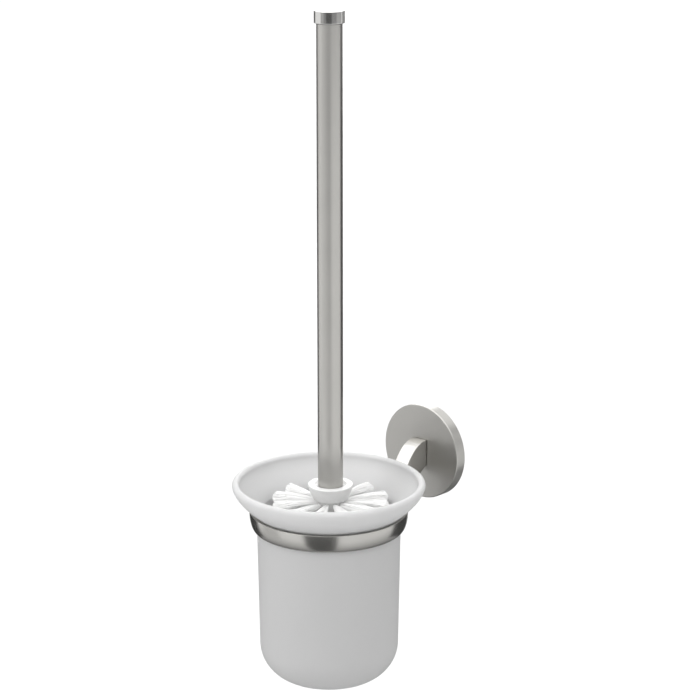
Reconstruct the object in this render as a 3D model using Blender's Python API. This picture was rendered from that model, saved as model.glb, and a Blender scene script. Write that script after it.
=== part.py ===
"""Wall-mounted toilet brush holder: a frosted glass cup hangs in a metal ring, and a brush stands in it.

Metres, +Z up. The origin is the centre of the rosette's back face, on the wall. +Y runs into the wall.
"""

from math import cos, pi, radians, sin

import bmesh
import bpy
from mathutils import Matrix

# Clearances between neighbouring pieces
GAP = 0.0003  # between faces that touch on the real object
BRISTLE_ROOM = 0.0018  # between the bristle tips and the glass
STAND_ROOM = 0.0006  # between the lowest bristles and the glass floor

# Where the cup hangs
CUP_OUT = 0.0860  # from the wall to the cup's axis
RIM_TOP = 0.0013  # height of the glass rim above the rosette's centre

# Glass cup
CUP_HEIGHT = 0.1186
BODY_RADIUS = 0.04125  # outside, at the top of the straight wall
FOOT_TAPER = 0.00125  # how much narrower the wall is at the foot
SEAT_STEP = 0.00185  # how much wider the neck is where it enters the ring
FLARE_WIDTH = 0.0120  # from the neck out to the rim
RIM_WALL = 0.0042
FLARE_DROP = 0.0169  # from the rim's top down to the ring's top
FLARE_POWER = 1.6
NECK_DROP = 0.0027  # below the ring's top, where the neck meets the straight wall
FOOT_CORNER = 0.0212
BODY_WALL = 0.0032
FLOOR = 0.0050
INNER_FLARE_DROP = 0.0155

# Ring that holds the cup
RING_WALL = 0.0020  # at its top edge
RING_HEIGHT = 0.0106
RING_TUCK = 0.0030  # how much narrower its outside is at the bottom
RING_LIP = 0.0012  # height of the lip that the liner stands on
LINER_WALL = 0.0007
LINER_HEIGHT = 0.0050

# Rosette and the plate behind it
ROSETTE_RADIUS = 0.0284
ROSETTE_WALL = 0.0016
ROSETTE_FACE = 0.0020
ROSETTE_EDGE = 0.0006
PLATE_FLOOR = 0.0009  # left between the wall and the recess for the arm screw's head
PLATE_ROOM = 0.0006  # between the plate and the rosette's face
WALL_SCREW_SPREAD = 0.0105  # each wall screw's height above or below the centre

# Arm
ARM_WIDTH = 0.0100
ARM_ROOT_HEIGHT = 0.0162
ARM_EDGE = 0.0008
ARM_END_RISE = 0.0015  # its underside, above the ring's bottom edge
ARM_POINTS = 13
ARM_TOP_HANDLES = (0.490, 0.532)  # shares of the way from the rosette to the ring
ARM_UNDER_HANDLES = (0.112, 0.560)

# Fasteners
WALL_SCREW_RADIUS = 0.0021
WALL_SCREW_LENGTH = 0.0175
WALL_SCREW_HEAD = (0.0042, 0.0022)
WALL_SCREW_TIP = 0.0040
PLUG_WALL = 0.0006
PLUG_LENGTH = 0.0160
ARM_SCREW_RADIUS = 0.0025
ARM_SCREW_HEAD = (0.0040, 0.0026)
ARM_SCREW_REACH = 0.0080  # into the arm
WASHER = (0.0045, 0.0007)
DOWEL_RADIUS = 0.0010
DOWEL_REACH = 0.0030
RING_SCREW_RADIUS = 0.0015
RING_SCREW_HEAD = (0.0029, 0.0014)
RING_SCREW_REACH = 0.0070
RING_SCREW_DROP = 0.0050  # its axis, below the ring's top
GRUB_RADIUS = 0.0015
GRUB_LENGTH = 0.0040
GRUB_DEPTH = 0.0026  # its axis, in front of the wall
SOCKET_DEPTH = 0.0010

# Handle
HANDLE_TOP = 0.2690  # height of the cap's top above the rosette's centre
TUBE_RADIUS = 0.0072
TUBE_WALL = 0.0012
CAP_OVERHANG = 0.0014
CAP_HEIGHT = 0.0068
CAP_EDGE = 0.0005
SPIGOT_LENGTH = 0.0120
INSERT_LENGTH = 0.0220
STUD_RADIUS = 0.0030
STUD_LENGTH = 0.0320
STUD_IN_HEAD = 0.0160

# Brush head
BRUSH_SHIFT = (0.0007, 0.0007)  # the brush stands a little off the cup's axis
HUB_BELOW_RIM = 0.0016
HUB_DISH = (0.0020, 0.0010)  # width round the tube, and depth
HUB_FLAT = 0.0039  # width of the top round the dish
HUB_EDGE = 0.0006
HUB_SIDE = 0.0050  # height of its drafted side
HUB_DRAFT = 0.0015
HUB_HEIGHT = 0.0087
CORE_RADIUS = 0.0080
CORE_SHOULDER = 0.0020
CORE_TIP = 0.0040
BAND_WALL = 0.0017
BAND_HEIGHT = 0.0040
ROWS = 7
TUFTS = 12
TUFT_ROOT_ANGLE = radians(12)
TUFT_TIP_ANGLE = radians(19)
TUFT_TIP_HEIGHT = 0.0080
CROWN_OVERHANG = 0.0015
CROWN_TIP_HEIGHT = 0.0060

# Facets in a full turn
FINE, MEDIUM, COARSE = 48, 32, 20

# Derived levels and radii
SEAT_RADIUS = BODY_RADIUS + SEAT_STEP
RIM_RADIUS = SEAT_RADIUS + FLARE_WIDTH
FOOT_RADIUS = BODY_RADIUS - FOOT_TAPER
CAP_RADIUS = TUBE_RADIUS + CAP_OVERHANG
DISH_RADIUS = TUBE_RADIUS + HUB_DISH[0]
HUB_RADIUS = DISH_RADIUS + HUB_FLAT
CUP_BOTTOM = RIM_TOP - CUP_HEIGHT
CUP_FLOOR = CUP_BOTTOM + FLOOR
RING_TOP = RIM_TOP - FLARE_DROP
RING_BOTTOM = RING_TOP - RING_HEIGHT
RING_OUTER = SEAT_RADIUS + GAP + RING_WALL
RING_FOOT = RING_OUTER - RING_TUCK
LINER_INNER = BODY_RADIUS + GAP
RING_INNER = LINER_INNER + LINER_WALL + GAP
NECK_SLOPE = SEAT_STEP / NECK_DROP
SEAT_MOUTH = SEAT_RADIUS + GAP * (1 + NECK_SLOPE**2) ** 0.5  # the ring's seat lies along the neck
SEAT_LOW = RING_TOP - (SEAT_MOUTH - RING_INNER) / NECK_SLOPE
LIP_TOP = RING_BOTTOM + RING_LIP + RING_INNER - LINER_INNER
RING_SCREW_Z = RING_TOP - RING_SCREW_DROP
ROSETTE_BORE = ROSETTE_RADIUS - ROSETTE_WALL
ROSETTE_DEPTH = PLATE_FLOOR + ARM_SCREW_HEAD[1] + WASHER[1] + 3 * GAP + ROSETTE_FACE
PLATE_THICKNESS = ROSETTE_DEPTH - ROSETTE_FACE - PLATE_ROOM
PLATE_RADIUS = ROSETTE_BORE - GAP
PLUG_RADIUS = WALL_SCREW_RADIUS + GAP + PLUG_WALL
PLATE_HOLE = PLUG_RADIUS + GAP
FACE_BACK = -(ROSETTE_DEPTH - ROSETTE_FACE)  # y of the rosette face's inner side
FACE_FRONT = -ROSETTE_DEPTH
RING_BACK = -(CUP_OUT - RING_OUTER)  # y of the ring's outside where the arm meets it
RING_SCREW_SEAT = -(CUP_OUT - RING_INNER)
DOWEL_RISE = WASHER[0] + 2 * GAP + DOWEL_RADIUS
HUB_TOP = RIM_TOP - HUB_BELOW_RIM
TUBE_FOOT = HUB_TOP - HUB_DISH[1] + GAP
TUBE_BORE = TUBE_RADIUS - TUBE_WALL
TUBE_HEAD = HANDLE_TOP - CAP_HEIGHT - GAP
CORE_END = CUP_FLOOR + STAND_ROOM + CROWN_TIP_HEIGHT / 2 + CORE_TIP
INNER_FOOT = FOOT_RADIUS - BODY_WALL
INNER_CORNER = FOOT_CORNER - BODY_WALL
BRISTLE_RADIUS = INNER_FOOT - BRISTLE_ROOM
CROWN_RADIUS = INNER_FOOT - INNER_CORNER + CROWN_OVERHANG
CROWN_Z = CUP_FLOOR + STAND_ROOM + CROWN_TIP_HEIGHT / 2
FIRST_ROW = HUB_TOP - HUB_HEIGHT - GAP - BAND_HEIGHT / 2
LAST_ROW = CROWN_Z + CROWN_TIP_HEIGHT + TUFT_TIP_HEIGHT / 2 + INNER_CORNER / 3

CUP_AXIS = (0.0, -CUP_OUT, 0.0)


def clear_scene():
    for old in list(bpy.data.objects):
        bpy.data.objects.remove(old, do_unlink=True)


def finish(name, colour, roughness, metallic=0.0, transmission=0.0):
    """A plain material of the piece's own colour."""
    material = bpy.data.materials.new(name)
    material.use_nodes = True
    shader = material.node_tree.nodes["Principled BSDF"]
    shader.inputs["Base Color"].default_value = (*colour, 1.0)
    shader.inputs["Roughness"].default_value = roughness
    shader.inputs["Metallic"].default_value = metallic
    shader.inputs["Transmission Weight"].default_value = transmission
    material.diffuse_color = (*colour, 1.0)
    return material


def add_object(name, bm, material, location=(0, 0, 0), turn=(0, 0, 0), parent=None):
    """Puts a bmesh into the scene as one named, smooth-shaded piece."""
    bmesh.ops.recalc_face_normals(bm, faces=bm.faces)
    mesh = bpy.data.meshes.new(name)
    bm.to_mesh(mesh)
    bm.free()
    mesh.shade_smooth()
    mesh.set_sharp_from_angle(angle=radians(35))
    mesh.materials.append(material)
    piece = bpy.data.objects.new(name, mesh)
    piece.location = location
    piece.rotation_euler = turn
    piece.parent = parent
    bpy.context.scene.collection.objects.link(piece)
    return piece


def add_axis(name, location, parent=None):
    """An empty on a joint's axis, for the pieces that move together."""
    axis = bpy.data.objects.new(name, None)
    axis.empty_display_size = 0.02
    axis.location = location
    axis.parent = parent
    bpy.context.scene.collection.objects.link(axis)
    return axis


def turned(profile, facets):
    """A closed outline of (radius, height) points turned about Z. Points on the axis become poles."""
    bm = bmesh.new()
    rings = []
    for radius, height in profile:
        if radius == 0:
            rings.append([bm.verts.new((0, 0, height))] * facets)
            continue
        angles = [2 * pi * i / facets for i in range(facets)]
        rings.append([bm.verts.new((radius * cos(a), radius * sin(a), height)) for a in angles])
    for ring, after in zip(rings, rings[1:] + rings[:1]):
        for i in range(facets):
            j = (i + 1) % facets
            corners = list(dict.fromkeys((ring[i], ring[j], after[j], after[i])))
            if len(corners) > 2:
                bm.faces.new(corners)
    return bm


def arc(centre, radii, start, end, steps):
    """Points on an ellipse's arc, both ends included."""
    angles = [start + (end - start) * i / steps for i in range(steps + 1)]
    return [(centre[0] + radii[0] * cos(a), centre[1] + radii[1] * sin(a)) for a in angles]


def cut(piece, bm, location=(0, 0, 0), turn=(0, 0, 0)):
    """Takes a cutter's shape, placed in world space, out of a piece."""
    cutter = add_object(piece.name + "_cutter", bm, piece.data.materials[0], location, turn)
    cutter.hide_render = True
    cutter.display_type = "WIRE"
    boolean = piece.modifiers.new("cut", "BOOLEAN")
    boolean.operation = "DIFFERENCE"
    boolean.solver = "EXACT"
    boolean.object = cutter


def rod(radius, low, high, facets=COARSE):
    """A plain round bar along Z."""
    bm = bmesh.new()
    bmesh.ops.create_cone(
        bm, cap_ends=True, segments=facets, radius1=radius, radius2=radius, depth=high - low
    )
    half_facet = Matrix.Rotation(pi / facets, 3, "Z")
    bmesh.ops.rotate(bm, matrix=half_facet, verts=bm.verts)
    bmesh.ops.translate(bm, vec=(0, 0, (low + high) / 2), verts=bm.verts)
    return bm


def prism(radius, low, high):
    """A hexagonal bar along Z, for a key's socket."""
    return rod(radius, low, high, 6)


# Turns that bring a piece's own +Z onto another direction
TO_WALL = (-pi / 2, 0, 0)  # +Z to +Y
TO_ROOM = (pi / 2, 0, 0)  # +Z to -Y
DOWN = (pi, 0, 0)


def flare_curve(room):
    """The flare's outside, from the rim down to the ring's top, with this much room round it."""
    start = RIM_TOP - RIM_WALL / 2
    length = start - RING_TOP
    spread = RIM_RADIUS - SEAT_RADIUS
    shares = [i / 7 for i in range(8)]
    return [(RIM_RADIUS - spread * share**FLARE_POWER + room, start - length * share) for share in shares]


def glass_outline():
    """The cup's section, from the rim's top down the outside and back up the inside."""
    rim_middle = RIM_RADIUS - RIM_WALL / 2
    flare_start = RIM_TOP - RIM_WALL / 2
    outside = arc((rim_middle, flare_start), (RIM_WALL / 2, RIM_WALL / 2), pi, 0, 6)
    outside += flare_curve(0)[1:]
    outside.append((BODY_RADIUS, RING_TOP - NECK_DROP))
    corner = (FOOT_RADIUS - FOOT_CORNER, CUP_BOTTOM + FOOT_CORNER)
    outside += arc(corner, (FOOT_CORNER, FOOT_CORNER), 0, -pi / 2, 6)
    inner = (INNER_FOOT - INNER_CORNER, CUP_FLOOR + INNER_CORNER)
    inside = arc(inner, (INNER_CORNER, INNER_CORNER), -pi / 2, 0, 6)
    inner_rim = RIM_RADIUS - RIM_WALL
    inner_body = BODY_RADIUS - BODY_WALL
    for i in range(6, 0, -1):
        share = i / 6
        inset = (inner_rim - inner_body) * share**FLARE_POWER
        inside.append((inner_rim - inset, flare_start - INNER_FLARE_DROP * share))
    return outside + [(0, CUP_BOTTOM), (0, CUP_FLOOR)] + inside


def build_cup(parent):
    glass = finish("frosted_glass", (0.86, 0.87, 0.87), 0.45, 0.0, 0.6)
    add_object("glass_cup", turned(glass_outline(), FINE), glass, parent=parent)


def ring_curve(room):
    """The ring's rounded outside, from its top edge to its bottom edge, with this much room round it."""
    radii = (RING_TUCK + room, RING_HEIGHT + room)
    return arc((RING_FOOT, RING_TOP), radii, 0, -pi / 2, 8)


def build_ring(steel, clear):
    outline = [
        (SEAT_MOUTH, RING_TOP),
        *ring_curve(0),
        (LINER_INNER, RING_BOTTOM),
        (LINER_INNER, RING_BOTTOM + RING_LIP),
        (RING_INNER, LIP_TOP),
        (RING_INNER, SEAT_LOW),
    ]
    ring = add_object("ring", turned(outline, FINE), steel, CUP_AXIS)
    head_radius, head_height = (size + GAP for size in RING_SCREW_HEAD)
    bore = RING_SCREW_RADIUS + GAP
    wall = RING_OUTER - RING_INNER
    countersink = [
        (0, -wall),
        (head_radius, -wall),
        (head_radius, 0),
        (bore, head_height),
        (bore, 2 * wall),
        (0, 2 * wall),
    ]
    cut(ring, turned(countersink, COARSE), (0, RING_SCREW_SEAT, RING_SCREW_Z), TO_WALL)
    liner_bottom = LIP_TOP + GAP
    liner = [
        (LINER_INNER, liner_bottom + LINER_HEIGHT),
        (LINER_INNER + LINER_WALL, liner_bottom + LINER_HEIGHT),
        (LINER_INNER + LINER_WALL, liner_bottom),
        (LINER_INNER, liner_bottom),
    ]
    add_object("ring_liner", turned(liner, FINE), clear, CUP_AXIS)


def bezier(start, end, handles, points):
    """Heights along a level-ended S-curve of (out, height) points."""
    (x0, z0), (x3, z3) = start, end
    x1, x2 = x0 + handles[0], x3 - handles[1]
    path = []
    for i in range(points):
        t = i / (points - 1)
        a, b, c, d = (1 - t) ** 3, 3 * t * (1 - t) ** 2, 3 * t * t * (1 - t), t**3
        path.append((a * x0 + b * x1 + c * x2 + d * x3, (a + b) * z0 + (c + d) * z3))
    return path


def build_arm(steel):
    """A flat-sided bar that leaves the rosette level, drops under the flare and meets the ring level."""
    root = -FACE_FRONT + GAP
    reach = -RING_BACK + ARM_WIDTH / 4
    half = ARM_ROOT_HEIGHT / 2
    top_handles = [share * (reach - root) for share in ARM_TOP_HANDLES]
    under_handles = [share * (reach - root) for share in ARM_UNDER_HANDLES]
    top = bezier((root, half), (reach, RING_TOP), top_handles, ARM_POINTS)
    low = RING_BOTTOM + ARM_END_RISE
    under = bezier((root, -half), (reach, low), under_handles, ARM_POINTS)
    bm = bmesh.new()
    outline = [bm.verts.new((-ARM_WIDTH / 2, -out, z)) for out, z in top + under[::-1]]
    side = bm.faces.new(outline)
    swept = bmesh.ops.extrude_face_region(bm, geom=[side])["geom"]
    moved = [item for item in swept if isinstance(item, bmesh.types.BMVert)]
    bmesh.ops.translate(bm, vec=(ARM_WIDTH, 0, 0), verts=moved)
    arm = add_object("arm", bm, steel)
    bevel = arm.modifiers.new("edges", "BEVEL")
    bevel.width = ARM_EDGE
    bevel.segments = 2
    bevel.limit_method = "ANGLE"
    bevel.angle_limit = radians(50)
    deep = ARM_ROOT_HEIGHT
    outer = RING_OUTER + GAP
    flare = [(max(radius, outer), height) for radius, height in flare_curve(GAP)[:-1]]
    room = [*flare, *ring_curve(GAP)]
    cope = [(0, deep), (RIM_RADIUS + GAP, deep), *room, (0, RING_BOTTOM - GAP)]
    cut(arm, turned(cope, FINE), CUP_AXIS)
    face = (0, FACE_FRONT, 0)
    cut(arm, rod(ARM_SCREW_RADIUS + GAP, -deep, ARM_SCREW_REACH + GAP), face, TO_ROOM)
    pin = (0, FACE_FRONT, DOWEL_RISE)
    cut(arm, rod(DOWEL_RADIUS + GAP, -deep, DOWEL_REACH + GAP), pin, TO_ROOM)
    end = (0, RING_BACK, RING_SCREW_Z)
    cut(arm, rod(RING_SCREW_RADIUS + GAP, -deep / 2, RING_SCREW_REACH + GAP), end, TO_WALL)


def build_rosette(steel):
    """The round cover: a shell open towards the wall."""
    edge = ROSETTE_EDGE
    rounded = arc((ROSETTE_RADIUS - edge, ROSETTE_DEPTH - edge), (edge, edge), pi / 2, 0, 3)
    screw_hole = ARM_SCREW_RADIUS + GAP
    outline = [
        (screw_hole, ROSETTE_DEPTH),
        *rounded,
        (ROSETTE_RADIUS, 0),
        (ROSETTE_BORE, 0),
        (ROSETTE_BORE, -FACE_BACK),
        (screw_hole, -FACE_BACK),
    ]
    rosette = add_object("rosette", turned(outline, FINE), steel, turn=TO_ROOM)
    pin = (0, 0, DOWEL_RISE)
    cut(rosette, rod(DOWEL_RADIUS + GAP, 0, 2 * ROSETTE_DEPTH), pin, TO_ROOM)
    grub = (0, -GRUB_DEPTH, 0)
    cut(rosette, rod(GRUB_RADIUS + GAP, PLATE_RADIUS / 2, 2 * ROSETTE_RADIUS), grub, DOWN)


def build_plate(zinc):
    """The disc that is screwed to the wall. The rosette slides over it and the grub screw locks it."""
    room_for_washer = WASHER[0] + 2 * GAP
    outline = [
        (0, PLATE_FLOOR),
        (room_for_washer, PLATE_FLOOR),
        (room_for_washer, PLATE_THICKNESS),
        (PLATE_RADIUS, PLATE_THICKNESS),
        (PLATE_RADIUS, 0),
        (0, 0),
    ]
    plate = add_object("wall_plate", turned(outline, FINE), zinc, turn=TO_ROOM)
    counterbore = WALL_SCREW_HEAD[0] + GAP
    sunk = PLATE_THICKNESS - WALL_SCREW_HEAD[1] - GAP
    stepped = [
        (0, -PLATE_THICKNESS),
        (0, 2 * PLATE_THICKNESS),
        (counterbore, 2 * PLATE_THICKNESS),
        (counterbore, sunk),
        (PLATE_HOLE, sunk),
        (PLATE_HOLE, -PLATE_THICKNESS),
    ]
    for height in (WALL_SCREW_SPREAD, -WALL_SCREW_SPREAD):
        cut(plate, turned(stepped, COARSE), (0, 0, height), TO_ROOM)
    grub_tip = ROSETTE_RADIUS - GRUB_LENGTH - 2 * GAP
    pocket = rod(GRUB_RADIUS + GAP, grub_tip, 2 * ROSETTE_RADIUS)
    cut(plate, pocket, (0, -GRUB_DEPTH, 0), DOWN)


def build_wall_fixings(zinc, nylon):
    """Screw and plug, once above and once below the centre."""
    head_radius, head_height = WALL_SCREW_HEAD
    seat = PLATE_THICKNESS - head_height
    shank_end = WALL_SCREW_LENGTH - WALL_SCREW_TIP
    screw = [
        (0, head_height),
        (head_radius * 0.7, head_height),
        (head_radius, head_height * 0.6),
        (head_radius, 0),
        (WALL_SCREW_RADIUS, 0),
        (WALL_SCREW_RADIUS, -shank_end),
        (0, -WALL_SCREW_LENGTH),
    ]
    bore = PLUG_RADIUS - PLUG_WALL
    rib = PLUG_WALL / 3
    plug = [(bore, -GAP), (PLUG_RADIUS, -GAP)]
    for i in range(1, 5):
        level = -GAP - PLUG_LENGTH * i / 5
        plug += [(PLUG_RADIUS, level + rib), (PLUG_RADIUS - rib, level), (PLUG_RADIUS, level - rib)]
    plug += [(PLUG_RADIUS, -PLUG_LENGTH), (bore, -PLUG_LENGTH)]
    for word, height in (("upper", WALL_SCREW_SPREAD), ("lower", -WALL_SCREW_SPREAD)):
        place = (0, -seat, height)
        piece = add_object("wall_screw_" + word, turned(screw, COARSE), zinc, place, TO_ROOM)
        for quarter in (0, pi / 2):
            bm = bmesh.new()
            bmesh.ops.create_cube(bm, size=1)
            size = (head_radius, head_radius / 5, 2 * SOCKET_DEPTH)
            bmesh.ops.transform(bm, matrix=Matrix.Diagonal((*size, 1)), verts=bm.verts)
            bmesh.ops.rotate(bm, matrix=Matrix.Rotation(quarter, 3, "Z"), verts=bm.verts)
            cut(piece, bm, (0, -PLATE_THICKNESS, height), TO_ROOM)
        add_object("wall_plug_" + word, turned(plug, COARSE), nylon, (0, 0, height), TO_ROOM)


def build_arm_fixings(steel):
    """Screw and washer behind the rosette's face, a dowel against turning, and the screw inside the ring."""
    washer_radius, washer_height = WASHER
    washer = [
        (ARM_SCREW_RADIUS + GAP, washer_height),
        (washer_radius, washer_height),
        (washer_radius, 0),
        (ARM_SCREW_RADIUS + GAP, 0),
    ]
    washer_back = FACE_BACK + GAP
    add_object("arm_washer", turned(washer, COARSE), steel, (0, washer_back, 0), TO_WALL)
    head_radius, head_height = ARM_SCREW_HEAD
    under_head = washer_back + washer_height + GAP
    reach = under_head - FACE_FRONT + ARM_SCREW_REACH
    screw = [
        (0, head_height),
        (head_radius, head_height),
        (head_radius, 0),
        (ARM_SCREW_RADIUS, 0),
        (ARM_SCREW_RADIUS, -reach),
        (0, -reach),
    ]
    piece = add_object("arm_screw", turned(screw, COARSE), steel, (0, under_head, 0), TO_WALL)
    socket = prism(ARM_SCREW_RADIUS * 0.8, -SOCKET_DEPTH, SOCKET_DEPTH)
    cut(piece, socket, (0, under_head + head_height, 0), TO_WALL)
    dowel_back = FACE_BACK + GAP
    dowel = rod(DOWEL_RADIUS, 0, dowel_back - FACE_FRONT + DOWEL_REACH, 12)
    add_object("arm_dowel", dowel, steel, (0, dowel_back, DOWEL_RISE), TO_ROOM)
    sunk_radius, sunk_height = RING_SCREW_HEAD
    length = RING_OUTER - RING_INNER + RING_SCREW_REACH
    sunk = [
        (0, 0),
        (sunk_radius, 0),
        (RING_SCREW_RADIUS, sunk_height),
        (RING_SCREW_RADIUS, length),
        (0, length),
    ]
    place = (0, RING_SCREW_SEAT + GAP / 3, RING_SCREW_Z)
    piece = add_object("ring_screw", turned(sunk, COARSE), steel, place, TO_WALL)
    cut(piece, prism(RING_SCREW_RADIUS * 0.6, -SOCKET_DEPTH, SOCKET_DEPTH), place, TO_WALL)


def build_grub_screw(steel):
    end = ROSETTE_RADIUS - GAP
    place = (0, -GRUB_DEPTH, 0)
    piece = add_object("grub_screw", rod(GRUB_RADIUS, end - GRUB_LENGTH, end), steel, place, DOWN)
    cut(piece, prism(GRUB_RADIUS * 0.6, end - SOCKET_DEPTH, 2 * end), place, DOWN)


def build_handle(parent, steel, bright):
    tube = [
        (TUBE_BORE, TUBE_HEAD),
        (TUBE_RADIUS, TUBE_HEAD),
        (TUBE_RADIUS, TUBE_FOOT),
        (TUBE_BORE, TUBE_FOOT),
    ]
    add_object("handle_tube", turned(tube, MEDIUM), steel, parent=parent)
    fit = TUBE_BORE - GAP
    under_cap = HANDLE_TOP - CAP_HEIGHT
    edge = (CAP_EDGE, CAP_EDGE)
    cap = [
        (0, HANDLE_TOP),
        *arc((CAP_RADIUS - CAP_EDGE, HANDLE_TOP - CAP_EDGE), edge, pi / 2, 0, 3),
        *arc((CAP_RADIUS - CAP_EDGE, under_cap + CAP_EDGE), edge, 0, -pi / 2, 3),
        (fit, under_cap),
        (fit, under_cap - SPIGOT_LENGTH),
        (0, under_cap - SPIGOT_LENGTH),
    ]
    add_object("handle_cap", turned(cap, MEDIUM), bright, parent=parent)
    bore = STUD_RADIUS + GAP
    stud_foot = TUBE_FOOT - STUD_IN_HEAD
    stud_head = stud_foot + STUD_LENGTH
    insert_top = TUBE_FOOT + INSERT_LENGTH
    insert = [
        (0, insert_top),
        (fit, insert_top),
        (fit, TUBE_FOOT),
        (bore, TUBE_FOOT),
        (bore, stud_head + GAP),
        (0, stud_head + GAP),
    ]
    add_object("handle_insert", turned(insert, COARSE), steel, parent=parent)
    add_object("handle_stud", rod(STUD_RADIUS, stud_foot, stud_head), steel, parent=parent)


def build_head(parent, plastic):
    """Hub with a dished top, and the core that the tufts are set in."""
    dish = HUB_TOP - HUB_DISH[1]
    bore = STUD_RADIUS + GAP
    bore_end = TUBE_FOOT - STUD_IN_HEAD - GAP
    outline = [
        (bore, bore_end),
        (bore, dish),
        (TUBE_RADIUS, dish),
        (DISH_RADIUS, HUB_TOP),
        (HUB_RADIUS - HUB_EDGE, HUB_TOP),
        (HUB_RADIUS, HUB_TOP - HUB_EDGE),
        (HUB_RADIUS - HUB_DRAFT, HUB_TOP - HUB_SIDE),
        (CORE_RADIUS + CORE_SHOULDER, HUB_TOP - HUB_HEIGHT),
        (CORE_RADIUS, HUB_TOP - HUB_HEIGHT),
        (CORE_RADIUS, CORE_END),
        (CORE_RADIUS / 2, CORE_END - CORE_TIP),
        (0, CORE_END - CORE_TIP),
        (0, bore_end),
    ]
    add_object("brush_head", turned(outline, MEDIUM), plastic, parent=parent)


def tuft_ring(root_z, tip_z, tip_radius, tip_height):
    """A band round the core with tufts that fan out from it, as one solid."""
    inner = CORE_RADIUS + GAP
    outer = inner + BAND_WALL
    bm = bmesh.new()

    def column(angle, radius, middle, height):
        place = (radius * cos(angle), radius * sin(angle))
        return [bm.verts.new((*place, middle + side * height / 2)) for side in (1, -1)]

    bore, band, tips = [], [], []
    for k in range(TUFTS):
        middle = 2 * pi * k / TUFTS
        for side in (-1, 1):
            root = middle + side * TUFT_ROOT_ANGLE / 2
            tip = middle + side * TUFT_TIP_ANGLE / 2
            bore.append(column(root, inner, root_z, BAND_HEIGHT))
            band.append(column(root, outer, root_z, BAND_HEIGHT))
            tips.append(column(tip, tip_radius, tip_z, tip_height))
    total = len(bore)
    for i in range(total):
        j = (i + 1) % total
        bm.faces.new((bore[i][0], bore[j][0], bore[j][1], bore[i][1]))
        for level in (0, 1):
            bm.faces.new((bore[i][level], bore[j][level], band[j][level], band[i][level]))
        if i % 2:
            bm.faces.new((band[i][0], band[j][0], band[j][1], band[i][1]))
            continue
        for level in (0, 1):
            bm.faces.new((band[i][level], band[j][level], tips[j][level], tips[i][level]))
        bm.faces.new((tips[i][0], tips[j][0], tips[j][1], tips[i][1]))
        for k in (i, j):
            bm.faces.new((band[k][0], tips[k][0], tips[k][1], band[k][1]))
    return bm


def build_bristles(parent, nylon):
    for row in range(ROWS):
        z = FIRST_ROW + (LAST_ROW - FIRST_ROW) * row / (ROWS - 1)
        bm = tuft_ring(z, z, BRISTLE_RADIUS, TUFT_TIP_HEIGHT)
        add_object(f"bristle_row_{row + 1}", bm, nylon, parent=parent)
    root_z = CORE_END + BAND_HEIGHT / 2
    crown = tuft_ring(root_z, CROWN_Z, CROWN_RADIUS, CROWN_TIP_HEIGHT)
    add_object("bristle_crown", crown, nylon, parent=parent)


def main():
    clear_scene()
    steel = finish("satin_steel", (0.52, 0.51, 0.48), 0.32, 1.0)
    bright = finish("polished_steel", (0.75, 0.74, 0.72), 0.12, 1.0)
    zinc = finish("zinc_plate", (0.55, 0.56, 0.58), 0.4, 1.0)
    clear = finish("clear_plastic", (0.85, 0.86, 0.86), 0.3, 0.0, 0.7)
    plug_nylon = finish("grey_nylon", (0.55, 0.56, 0.56), 0.6)
    white = finish("white_plastic", (0.88, 0.88, 0.87), 0.4)
    bristle = finish("white_bristle", (0.92, 0.92, 0.91), 0.55)
    build_plate(zinc)
    build_wall_fixings(zinc, plug_nylon)
    build_rosette(steel)
    build_grub_screw(steel)
    build_arm(steel)
    build_arm_fixings(steel)
    build_ring(steel, clear)
    cup_axis = add_axis("cup_lift_axis", CUP_AXIS)
    build_cup(cup_axis)
    brush_axis = add_axis("brush_lift_axis", (*BRUSH_SHIFT, 0), cup_axis)
    build_handle(brush_axis, steel, bright)
    build_head(brush_axis, white)
    build_bristles(brush_axis, bristle)


main()
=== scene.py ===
"""Finished looks for the wall-mounted toilet brush holder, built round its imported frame.

Each operator makes one piece, or one group of like pieces, and the last one sets the studio.
Metres, +Z up. The origin is in the wall's plane, behind the middle of the rosette.
+Y runs into the wall.
"""

from math import acos, cos, pi, radians, sin, tan

import bmesh
import bpy
from bpy.props import FloatProperty, FloatVectorProperty, IntProperty, PointerProperty
from mathutils import Matrix, Vector


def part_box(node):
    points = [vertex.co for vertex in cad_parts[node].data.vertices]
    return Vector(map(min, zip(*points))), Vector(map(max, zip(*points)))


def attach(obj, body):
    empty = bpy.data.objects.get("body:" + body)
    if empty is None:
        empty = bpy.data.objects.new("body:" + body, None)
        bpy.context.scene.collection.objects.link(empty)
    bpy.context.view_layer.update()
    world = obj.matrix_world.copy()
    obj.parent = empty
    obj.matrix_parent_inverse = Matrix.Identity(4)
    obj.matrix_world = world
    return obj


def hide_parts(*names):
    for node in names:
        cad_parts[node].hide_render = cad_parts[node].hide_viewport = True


bl_info = {
    "name": "Toilet brush holder",
    "version": (1, 0, 0),
    "blender": (4, 5, 0),
    "location": "3D View > Sidebar > Brush holder",
    "description": "Builds the finished pieces of a wall-mounted toilet brush holder round its frame",
    "category": "Object",
}

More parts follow.
